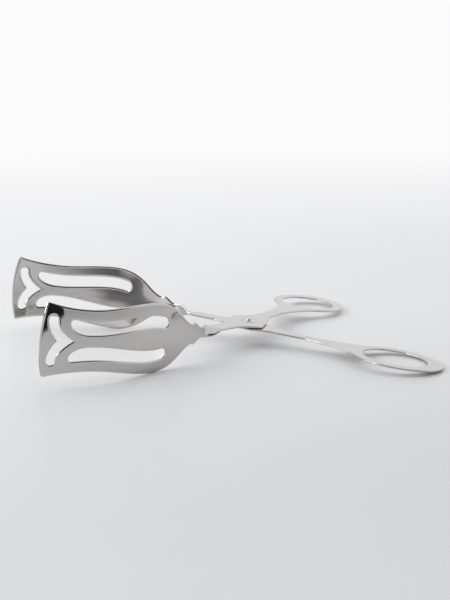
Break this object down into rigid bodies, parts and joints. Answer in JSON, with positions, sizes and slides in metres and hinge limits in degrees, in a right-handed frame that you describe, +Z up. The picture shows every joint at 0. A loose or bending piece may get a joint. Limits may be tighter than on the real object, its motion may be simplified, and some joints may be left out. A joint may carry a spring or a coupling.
{
  "type": "pastry tongs",
  "caption": "Scissor-action pastry tongs: two crossed steel halves on a rivet, with slotted upright blades and finger loops.",
  "frame": {"origin": "centre of the open tongs' bounding box, on the table they lie on", "axes": "+Z up from the table; +X along the tongs from the blades to the finger loops; +Y to the far side, where the lower half's blade and the upper half's loop are"},
  "size_m": [0.2032, 0.163, 0.041],
  "materials": {
    "upper_steel": "mirror-polished stainless steel sheet",
    "lower_steel": "mirror-polished stainless steel sheet",
    "rivet_steel": "turned stainless steel, polished head"
  },
  "bodies": {
    "lower": {"lower_half": "lower_steel", "rivet": "rivet_steel"},
    "upper": {"upper_half": "upper_steel"}
  },
  "joints": [
    {"name": "rivet_hinge", "type": "hinge", "parent": "lower", "child": "upper", "pos_m": [0.01917, 0, 0.01045], "axis": [0.11, 0, 0.9939], "range_deg": [-49.1, 82]}
  ]
}
